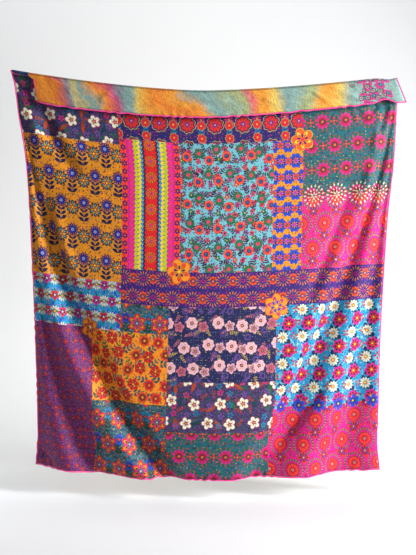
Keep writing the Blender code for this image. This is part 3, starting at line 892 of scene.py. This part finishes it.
# The place swung sideways by a sine of the distance down, for stems and bands that wander.
def makeWave():
    w, enter, leave = newGroup("printWave", {"Local": (0, 0, 0), "Swing": 0.01, "Length": 0.1},
                               {"Local": "Vector"})
    x, y, _ = w.split(enter["Local"])
    turn = y * (2 * np.pi) / enter["Length"]
    swing = w.math("SINE", turn) * enter["Swing"]
    w.feed(leave["Local"], w.join(x - swing, y))


# 1 where a place, a cell's centre, is inside a rectangle of the flat cloth.
def makeWindow():
    w, enter, leave = newGroup("printWindow", {"Place": (0, 0, 0), "Low": (0, 0, 0), "High": (1, 1, 0)},
                               {"Mask": "Float"})
    past = w.split(w.vector("SUBTRACT", enter["Place"], enter["Low"]))
    left = w.split(w.vector("SUBTRACT", enter["High"], enter["Place"]))
    sides = [side > 0.0 for side in (past[0], past[1], left[0], left[1])]
    w.feed(leave["Mask"], sides[0] * sides[1] * (sides[2] * sides[3]))


# The short pile: tufts and brushed patches shade the colour and lift the surface, and the tufts' own scatter
# pushes the print's edges about.
def makePile():
    w, enter, leave = newGroup("shortPile", {
        "Place": (0, 0, 0), "Tuft": pile["tuft"], "Brush": pile["brush"], "Fuzz": pile["fuzz"],
        "Grain": pile["grain"], "Brushing": pile["brushing"]},
        {"Printed Place": "Vector", "Shade": "Float", "Height": "Float", "Roughness": "Float"})
    tuft = w.noise(enter["Place"], enter["Tuft"], 1.0)
    coarse = w.noise(enter["Place"], enter["Tuft"] * pile["clump"], 1.0)
    brush = w.noise(enter["Place"], enter["Brush"], 3.0)
    push = w.vector("SUBTRACT", tuft["Color"], (0.5, 0.5, 0.5))
    push = w.vector("ADD", push, w.vector("SUBTRACT", coarse["Color"], (0.5, 0.5, 0.5)))
    w.feed(leave["Printed Place"], w.vector("ADD", enter["Place"], w.scaled(push, enter["Fuzz"])))
    grain = (tuft["Fac"] - 0.5) * enter["Grain"] + (coarse["Fac"] - 0.5) * enter["Grain"]
    brushed = (brush["Fac"] - 0.5) * enter["Brushing"]
    w.feed(leave["Shade"], grain + brushed + 1.0)
    w.feed(leave["Height"], tuft["Fac"] + coarse["Fac"])
    w.feed(leave["Roughness"], brushed * pile["brushedRoughness"] + pile["roughness"])


for make in (makeCells, makeRing, makeLeaf, makeBloom, makeSprig, makeWave, makeWindow, makePile):
    make()


# The place swung by a wave, which is how far to each side and how long.
def swung(w, place, wave):
    return w.group("printWave", {"Local": place, "Swing": wave[0] / 1000, "Length": wave[1] / 1000})["Local"]


# One motif on the local place of its cells: its mask, how far each point is through it, and its shade.
def motifMask(w, local, motif):
    if "move" in motif:
        local = w.vector("SUBTRACT", local, (motif["move"][0] / 1000, motif["move"][1] / 1000, 0))
    if "turn" in motif:
        local = w.turned(local, np.radians(motif["turn"]))
    if "wave" in motif:
        local = swung(w, local, motif["wave"])
    if "ring" in motif:
        count, distance, start = motif["ring"]
        local = w.group("printRing", {"Local": local, "Count": float(count), "Distance": distance / 1000,
                                      "Turn": np.radians(start)})["Local"]
    if "leaf" in motif:
        long, wide, full = motif["leaf"]
        return w.group("printLeaf", {"Local": local, "Length": long / 1000, "Width": wide / 1000,
                                     "Fullness": float(full)})
    if "bloom" in motif:
        radius, lobes, cut = motif["bloom"]
        return w.group("printBloom", {"Local": local, "Radius": radius / 1000, "Lobes": float(lobes),
                                      "Cut": float(cut)})
    long, leafLong, leafWide, gap = motif["sprig"]
    return w.group("printSprig", {"Local": local, "Length": long / 1000, "Leaf": leafLong / 1000,
                                  "Leaf Width": leafWide / 1000, "Gap": gap / 1000,
                                  "Shrink": 0.0 if motif.get("even") else dye["sprigTaper"]})


# The colour of a motif: one ink, stops from its middle out, or a pick by the cell's random number.
def motifInk(w, motif, share, random):
    if "stops" in motif:
        return w.ramp(share, motif["stops"])
    if "pick" in motif:
        names = motif["pick"]
        return w.ramp(random, tuple((i / len(names), name) for i, name in enumerate(names)))
    return ink(motif["ink"])


# One layer of a panel over the colour so far: speckle, bands, or motifs on cells.
def drawLayer(w, place, colour, layer):
    if "speckle" in layer:
        grain = w.noise(place, float(layer["speckle"]), 1.0)["Fac"]
        least = speckle["barest"] - speckle["range"] * layer["cover"]
        cover = ((grain - least) * speckle["crispness"]).clamped()
        return w.mix(cover, colour, ink(layer["ink"]))
    if "bands" in layer:
        past = w.split(swung(w, place, layer["wave"]))[0] - layer["start"] / 1000
        return w.ramp(past / (layer["bands"] / 1000), layer["stops"])
    origin = layer.get("origin", (0, 0))
    cells = w.group("printCells", {
        "Place": place, "Origin": (origin[0] / 1000, origin[1] / 1000, 0), "Width": layer["cell"][0] / 1000,
        "Height": layer["cell"][1] / 1000, "Stagger": float(layer.get("stagger", 0)),
        "Jitter": float(layer.get("jitter", 0)), "Spin": float(layer.get("spin", 0))})
    limit = None
    if "only" in layer:
        left, right, top, bottom = (edge / 1000 for edge in layer["only"])
        limit = w.group("printWindow", {"Place": cells["Centre"], "Low": (left, top, 0),
                                        "High": (right, bottom, 0)})["Mask"]
    if "share" in layer:
        chosen = cells["Random"] < layer["share"]
        limit = chosen if limit is None else limit * chosen
    for motif in layer["motifs"]:
        drawn = motifMask(w, cells["Local"], motif)
        mask = drawn["Mask"] if limit is None else drawn["Mask"] * limit
        random = cells["Random"] / layer.get("share", 1)
        tone = 1.0 - drawn["Shade"]
        colour = w.mix(mask, colour, w.scaled(motifInk(w, motif, drawn["Share"], random), tone))
    return colour


def meets(place, window):
    return place[0] < window[1] and place[1] > window[0] and place[2] < window[3] and place[3] > window[2]


def newMaterial(name):
    material = bpy.data.materials.new(name)
    material.use_nodes = True
    return material, Wiring(material.node_tree), material.node_tree.nodes["Principled BSDF"]


# A cloth material: the pile's shade over the given colour, its height as bump, and a velvety sheen.
def clothMaterial(name, drawColour):
    material, w, shader = newMaterial(name)
    place = w.node("UVMap", uv_map="cloth").outputs["UV"]
    pileOut = w.group("shortPile", {"Place": place})
    colour = drawColour(w, pileOut["Printed Place"])
    w.feedAll(shader.inputs, {
        "Base Color": w.scaled(colour, pileOut["Shade"]), "Roughness": pileOut["Roughness"],
        "Normal": w.bump(pileOut["Height"], pile["bump"], pile["bumpStrength"]),
        "Sheen Weight": pile["sheen"], "Sheen Roughness": pile["sheenRoughness"],
        "Specular IOR Level": pile["specular"]})
    return material


# A panel's print: its ground, then its layers, then the overprints whose windows it meets.
def panelMaterial(name, panel):
    def drawColour(w, place):
        rgb = w.node("RGB")
        rgb.outputs[0].default_value = ink(panel["ground"])
        colour = rgb.outputs[0]
        over = [one for one in overprints if any(meets(p, one["only"]) for p in panel["places"])]
        for layer in (*panel["layers"], *over):
            colour = drawLayer(w, place, colour, layer)
        return colour
    return clothMaterial(name, drawColour)


# The reverse: washed inks in wide slanting patches across the cloth, whose edges are hatched, mottled and
# streaked by the pile, with a painted shade along the fold over the top. Small scalloped flowers lie near its
# right end, and the dark print shows again in the corner above the flap's drawn-in end.
reverse = {
    "slant": 0.5, "wander": 0.26, "wanderScale": (2.6, 3.4), "hatch": 0.060, "hatchScale": (150.0, 40.0),
    "blend": 0.034, "mottle": (60.0, 44.0), "mottleShade": 1.15, "knit": (270.0, 34.0), "knitShade": 0.85,
    # a painted shade darkens the band of the reverse that runs over the fold at the top
    "paintedFoldShade": {"from": -0.021, "to": -0.003, "shade": 0.5},
    "corner": {"wide": 0.072, "tall": 0.045, "ink": "indigo", "speck": "deepTeal", "speckScale": (90, 90),
               "speckLevel": 0.02},
    "scallops": (
        dict(cell=(42, 38), origin=(0, 10), stagger=0.5, jitter=0.4, only=(1368, 1488, -130, 2), motifs=(
            bloom(25, 7, 0.25, "washMauve"), petals(7, 6, 16, 12, 1.4, "rose"),
            bloom(10, 7, 0.2, (0, "turquoise"), (0.5, "plum"), (0.8, "washTeal")))),
        dict(cell=(30, 28), origin=(14, 4), stagger=0.5, jitter=0.6, only=(1346, 1480, -130, 2), share=0.7,
             motifs=(bloom(13, 6, 0.3, "plum"), bloom(10, 6, 0.3, "washTeal"), bloom(5, 5, 0.2, "rust")))),
    "stops": ((0.0, "washAmber"), (0.028, "washOrange"), (0.06, "washAmber"), (0.085, "washOrange"),
              (0.112, "washMauve"), (0.128, "washTeal"), (0.145, "washYellow"), (0.165, "washTeal"),
              (0.20, "washAmber"), (0.22, "washOrange"), (0.235, "washPink"), (0.26, "washMauve"),
              (0.275, "washTeal"), (0.33, "washYellow"), (0.37, "washAmber"), (0.41, "washOrange"),
              (0.435, "washAmber"), (0.475, "washTeal"), (0.53, "washSage"), (0.57, "washPink"),
              (0.595, "washAmber"), (0.66, "washYellow"), (0.70, "washTeal"), (0.76, "washSage"),
              (0.80, "washAmber"), (0.85, "washYellow"), (0.885, "washTeal"))}


def reverseMaterial():
    def noiseAbout(w, place, scale, detail=2.0):
        return w.noise(w.vector("MULTIPLY", place, (*scale, 1)), 1.0, detail)["Fac"] - 0.5

    def drawColour(w, place):
        across, down, _ = w.split(place)
        wander = noiseAbout(w, place, reverse["wanderScale"], 3.0) * reverse["wander"]
        hatched = w.join(across + down, down)
        hatch = noiseAbout(w, hatched, reverse["hatchScale"]) * reverse["hatch"]
        slid = (across + down * reverse["slant"]) / hang["width"] + (wander + hatch)
        before = w.ramp(w.math("PINGPONG", slid, 1.0), reverse["stops"])
        after = w.ramp(w.math("PINGPONG", slid + reverse["blend"] / 2, 1.0), reverse["stops"])
        wash = w.mix(0.5, before, after)
        mottle = noiseAbout(w, hatched, reverse["mottle"], 4.0) * reverse["mottleShade"]
        knit = noiseAbout(w, place, reverse["knit"]) * reverse["knitShade"]
        colour = w.scaled(wash, mottle + knit + 1.0)
        # Painted shade: the band over the fold at the top is darkened
        line = reverse["paintedFoldShade"]
        onFold = (down > line["from"]) * (down < line["to"])
        colour = w.scaled(colour, 1.0 - onFold * line["shade"])
        for layer in reverse["scallops"]:
            colour = drawLayer(w, place, colour, layer)
        corner = reverse["corner"]
        specks = noiseAbout(w, place, corner["speckScale"]) > corner["speckLevel"]
        dark = w.mix(specks, ink(corner["ink"]), ink(corner["speck"]))
        reach = w.length(w.vector("DIVIDE", place, (corner["wide"], corner["tall"], 1)))
        inCorner = (reach < 1.0) * (down < 0.0)
        return w.mix(inCorner, colour, dark)
    return clothMaterial("washedReverse", drawColour)


# Four corners for each cell of a grid of points, row by row.
def gridQuads(rows, columns, start=0):
    at = np.arange(rows * columns).reshape(rows, columns) + start
    return np.stack([at[:-1, :-1], at[1:, :-1], at[1:, 1:], at[:-1, 1:]], axis=-1).reshape(-1, 4)


# A new object at the origin with one mesh: its points, faces and materials, shaded smooth.
def newPiece(name, points, faces, materials):
    mesh = bpy.data.meshes.new(name)
    mesh.from_pydata(points.reshape(-1, 3).tolist(), [], faces)
    for material in materials:
        mesh.materials.append(material)
    mesh.update()
    mesh.shade_smooth()
    piece = bpy.data.objects.new(name, mesh)
    bpy.context.scene.collection.objects.link(piece)
    return piece


def addMap(piece, name, corners):
    piece.data.uv_layers.new(name=name).data.foreach_set("uv", corners.astype(np.float32).ravel())


# Both faces half a thickness from the middle, and strips round the raw edge. A face of the print takes the
# material of the panel that its centre is on, and the raw edge takes the reverse's.
def buildSheet():
    rows, columns = middle.shape[:2]
    half = normal * hang["thickness"] / 2
    at = np.arange(2 * rows * columns).reshape(2, rows, columns)
    front, back = gridQuads(rows, columns), gridQuads(rows, columns, rows * columns)[:, ::-1]
    rim = [np.stack([at[0, 0, :-1], at[0, 0, 1:], at[1, 0, 1:], at[1, 0, :-1]], -1),
           np.stack([at[1, -1, :-1], at[1, -1, 1:], at[0, -1, 1:], at[0, -1, :-1]], -1),
           np.stack([at[1, :-1, 0], at[1, 1:, 0], at[0, 1:, 0], at[0, :-1, 0]], -1),
           np.stack([at[0, :-1, -1], at[0, 1:, -1], at[1, 1:, -1], at[1, :-1, -1]], -1)]
    quads = np.concatenate([front, back] + rim)
    materials = [panelMaterial(name, panel) for name, panel in panels.items()] + [reverseMaterial()]
    piece = newPiece("blanketSheet", np.stack([middle + half, middle - half]), quads.tolist(), materials)
    flat = np.stack([np.tile(clothU.ravel(), 2), np.tile(clothV.ravel(), 2)], -1)
    centre = flat[front].mean(1) * 1000
    slot = np.full(len(quads), len(materials) - 1)
    for index, panel in enumerate(panels.values()):
        for left, right, top, bottom in panel["places"]:
            inside = (centre > (left, top)) & (centre < (right, bottom))
            slot[:len(front)][inside.all(1)] = index
    piece.data.polygons.foreach_set("material_index", slot.astype(np.int32))
    addMap(piece, "cloth", flat[quads].reshape(-1, 2))
    share = (flat - flat.min(0)) / (flat.max(0) - flat.min(0))
    addMap(piece, "OFBake", bakeLayout(share[quads], len(front), [len(strip) for strip in rim]))
    return piece


# The flat layout for baking: the print on the left, the reverse beside it, and the raw edges in the margins.
def bakeLayout(share, faceCount, rimCounts):
    layout = 1 - share.copy()
    layout[..., 0] = share[..., 0]
    placed = np.empty_like(layout)
    placed[:faceCount] = (0.004, 0.01) + layout[:faceCount] * (0.68, 0.98)
    placed[faceCount:2 * faceCount] = (0.69, 0.01) + layout[faceCount:2 * faceCount] * (0.30, 0.98)
    start = 2 * faceCount
    for count, (x, y, wide, high, alongRow) in zip(rimCounts, (
            (0.004, 0.993, 0.68, 0.004, True), (0.004, 0.003, 0.68, 0.004, True),
            (0.9925, 0.01, 0.002, 0.98, False), (0.996, 0.01, 0.002, 0.98, False))):
        strip = layout[start:start + count].copy()
        outer = np.array([0, 0, 1, 1])
        strip[..., 1 if alongRow else 0] = outer
        placed[start:start + count] = (x, y) + strip * (wide, high)
        start += count
    return placed


sheet = buildSheet()
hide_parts("blanket_cloth")
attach(sheet, "root")
print("printed sheet made:", len(sheet.data.polygons), "faces")

# The thread edging: a bead wound round the raw edge, in metres
# paintedGrooveShade is how much painted shade darkens the grooves between the windings
edging = {"width": 0.0055, "height": 0.0044, "gap": 0.0003, "pitch": 0.0027, "stepsPerTurn": 5, "sides": 8,
          "strand": 0.13, "slant": 1.0, "fibres": (2600.0, 9.0), "fibreShade": 0.34, "patches": 45.0,
          "patchShade": 0.3, "paintedGrooveShade": 0.28, "grooveSharpness": 3.0, "tone": 0.76, "bump": 0.0004,
          "bumpStrength": 0.5, "roughness": 0.62, "sheen": 0.35, "specular": 0.35}


# A path through points with rounded corners: the outline's cubic, in three directions, evenly spaced.
def smoothPath(points, spacing):
    length = lengthAlong(points)
    at = np.linspace(0, length[-1], int(length[-1] / spacing) + 1)
    return cubicThrough(length, points, at), at


# An oval carried along the edge, outside it by the gap. Its radius swells and narrows round a slanting
# winding. The map has the distance along the edge and the share of the way round.
def buildEdging(name, edge, outward, up, material):
    spacing = edging["pitch"] / edging["stepsPerTurn"]
    path, along = smoothPath(edge + outward * (edging["gap"] + edging["width"] / 2), spacing)
    source = np.linspace(0, 1, len(edge))
    target = np.linspace(0, 1, len(path))
    carried = [unit(np.stack([np.interp(target, source, axis) for axis in way.T], -1))
               for way in (outward, up)]
    angle = np.linspace(0, 2 * np.pi, edging["sides"], endpoint=False)
    wound = 1 - edging["strand"] * (0.5 - 0.5 * np.cos(2 * np.pi * along[:, None] / edging["pitch"]
                                                       + edging["slant"] * angle))
    side = (np.cos(angle) * wound * edging["width"] / 2)[..., None] * carried[0][:, None]
    rise = (np.sin(angle) * wound * edging["height"] / 2)[..., None] * carried[1][:, None]
    tube = path[:, None] + side + rise
    rows, sides = tube.shape[:2]
    at = np.arange(rows * sides).reshape(rows, sides)
    around = np.roll(at, -1, axis=1)
    quads = np.stack([at[:-1], at[1:], around[1:], around[:-1]], -1).reshape(-1, 4)
    opened = gridQuads(rows, sides + 1)  # the same faces on a tube slit along one side, for the flat map
    facesInward = np.cross(path[1] - path[0], carried[0][0]) @ carried[1][0] > 0
    if facesInward:
        quads, opened = quads[:, ::-1], opened[:, ::-1]
    points = np.concatenate([tube.reshape(-1, 3), [path[0], path[-1]]])
    capStart = np.stack([at[0], around[0], np.full(sides, rows * sides)], -1)
    capEnd = np.stack([around[-1], at[-1], np.full(sides, rows * sides + 1)], -1)
    faces = quads.tolist() + capStart.tolist() + capEnd.tolist()
    piece = newPiece(name, points, faces, [material])
    flat = np.stack(np.meshgrid(along, np.linspace(0, 1, sides + 1), indexing="ij"), -1).reshape(-1, 2)
    capMap = np.zeros((capStart.size + capEnd.size, 2))
    addMap(piece, "thread", np.concatenate([flat[opened].reshape(-1, 2), capMap]))
    return piece


# Hot pink thread: painted shade darkens the grooves between windings, so each crown is lighter, and fine
# fibres run along it.
def edgingMaterial():
    material, w, shader = newMaterial("edgingThread")
    along, around, _ = w.split(w.node("UVMap", uv_map="thread").outputs["UV"])
    turns = along / edging["pitch"] + around * edging["slant"]
    wound = abs(w.math("SINE", turns * np.pi))
    # Painted shade: darker in the grooves between the windings
    grooveShadeMask = wound ** edging["grooveSharpness"]
    fibreScale, aroundScale = edging["fibres"]
    fibres = w.noise(w.join(along * fibreScale, around * aroundScale), 1.0)["Fac"]
    patches = w.noise(w.join(along * edging["patches"], around), 1.0)["Fac"]
    light = fibres * edging["fibreShade"] + patches * edging["patchShade"]
    shade = light - grooveShadeMask * edging["paintedGrooveShade"]
    w.feedAll(shader.inputs, {
        "Base Color": w.scaled(ink("edge"), shade + edging["tone"]), "Roughness": edging["roughness"],
        "Normal": w.bump(fibres, edging["bump"], edging["bumpStrength"]),
        "Sheen Weight": edging["sheen"], "Specular IOR Level": edging["specular"]})
    return material


threadMaterial = edgingMaterial()
downCloth, acrossCloth = heading(middle, 0), heading(middle, 1)
hemReach = edging["width"] + edging["gap"]


# A hem's edging runs on past the corners by its own width, so the side edgings stop between the two.
def hemEdge(row, outSign):
    edge, out = middle[row], outSign * downCloth[row]
    start, end = edge[0] - acrossCloth[row, 0] * hemReach, edge[-1] + acrossCloth[row, -1] * hemReach
    spread = [np.concatenate([grid[:1], grid, grid[-1:]]) for grid in (out, normal[row])]
    return np.concatenate([[start], edge, [end]]), spread[0], spread[1]


edgings = {
    "edging_flap": hemEdge(0, -1), "edging_bottom": hemEdge(-1, 1),
    "edging_left": (middle[:, 0], -acrossCloth[:, 0], normal[:, 0]),
    "edging_right": (middle[:, -1], acrossCloth[:, -1], normal[:, -1]),
}
for node, (edge, outward, up) in edgings.items():
    piece = buildEdging(node.replace("_", "Thread_"), edge, outward, up, threadMaterial)
    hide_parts(node)
    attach(piece, "root")

# A pale floor that curves up into a pale wall
room = {"floor": -1.60, "back": 1.3, "front": -5.5, "halfWidth": 7.0, "top": 4.5, "curve": 0.8,
        "colour": (0.74, 0.745, 0.75), "roughness": 0.9}


# Paper on the room's side and clear from behind, so that the blanket's back can be seen through the wall.
def seeBehind(w, shader):
    behind = w.node("NewGeometry").outputs["Backfacing"]
    clear = w.node("BsdfTransparent").outputs["BSDF"]
    seen = w.node("MixShader", {"Fac": behind, 1: shader.outputs["BSDF"], 2: clear})
    w.feed(w.tree.nodes["Material Output"].inputs["Surface"], seen.outputs["Shader"])


# A floor, a quarter circle and a wall, carried straight across.
def buildRoom():
    angle = np.linspace(0, np.pi / 2, 24)
    y = np.concatenate([[room["front"]], room["back"] - room["curve"] * (1 - np.sin(angle)), [room["back"]]])
    z = np.concatenate([[room["floor"]], room["floor"] + room["curve"] * (1 - np.cos(angle)), [room["top"]]])
    x = np.array([room["halfWidth"], -room["halfWidth"]])
    grid = np.stack([x + 0 * y[:, None], y[:, None] + 0 * x, z[:, None] + 0 * x], -1)
    material, w, shader = newMaterial("paperBackdrop")
    w.feedAll(shader.inputs, {"Base Color": (*room["colour"], 1), "Roughness": room["roughness"]})
    seeBehind(w, shader)
    newPiece("backdrop", grid, gridQuads(*grid.shape[:2]).tolist(), [material])


buildRoom()

# Soft daylight from the right, a weak fill from the front, and from behind the cloth a wash down the wall and
# a fill for the shadow on the floor
lamps = {
    "window": {"at": (3.2, -1.45, 0.35), "aim": (0, 0, -0.8), "size": (1.1, 2.0), "power": 82,
               "spread": 90, "colour": (0.97, 0.985, 1.0)},
    "front": {"at": (-0.8, -4.8, 1.0), "aim": (0, 0, -0.8), "size": (3.0, 2.0), "power": 4,
              "spread": 60, "colour": (0.96, 0.98, 1.0)},
    "wallWash": {"at": (-0.35, 0.3, 1.9), "aim": (-0.25, 1.0, -1.6), "size": (4.0, 0.5), "power": 37,
                 "spread": 180, "colour": (1, 1, 1)},
    "shadowFill": {"at": (-2.4, 0.6, -0.7), "aim": (-0.7, 0.45, -1.6), "size": (1.0, 1.0), "power": 11,
                   "spread": 130, "colour": (0.94, 0.98, 1)},
}
skyLight = {"colour": (0.94, 0.96, 1.0), "strength": 0.1, "seen": 0.72}  # seen brighter than it lights


def placeLamps():
    for name, lamp in lamps.items():
        data = bpy.data.lights.new(name, "AREA")
        data.shape = "RECTANGLE"
        data.size, data.size_y = lamp["size"]
        data.energy = lamp["power"]
        data.spread = np.radians(lamp["spread"])
        data.color = lamp["colour"]
        made = bpy.data.objects.new(name, data)
        made.location = lamp["at"]
        beam = Vector(lamp["aim"]) - Vector(lamp["at"])
        made.rotation_euler = beam.to_track_quat("-Z", "Y").to_euler()
        made.visible_camera = False
        bpy.context.scene.collection.objects.link(made)
    world = bpy.data.worlds.new("softRoom")
    bpy.context.scene.world = world
    world.use_nodes = True
    w = Wiring(world.node_tree)
    ray = w.node("LightPath").outputs["Is Camera Ray"]
    strength = w.node("MapRange", {"Value": ray, "To Min": skyLight["strength"], "To Max": skyLight["seen"]})
    w.feedAll(w.tree.nodes["Background"].inputs, {
        "Color": (*skyLight["colour"], 1), "Strength": strength.outputs["Result"]})


# The photograph's view: the focal length in pixels gives the lens on a 36 mm sensor along the longer side.
def placeCamera():
    data = bpy.data.cameras.new("photoCamera")
    data.sensor_width = viewer["sensor"]
    data.lens = viewer["focal"] / max(viewer["frame"]) * data.sensor_width
    camera = bpy.data.objects.new("photoCamera", data)
    camera.location = (0, -viewer["distance"], viewer["height"])
    camera.rotation_euler = (np.radians(90 - viewer["tiltDown"]), 0, 0)
    bpy.context.scene.collection.objects.link(camera)
    bpy.context.scene.camera = camera


placeLamps()
placeCamera()
bpy.context.scene.view_settings.view_transform = "Standard"
print("room, lamps and camera placed")
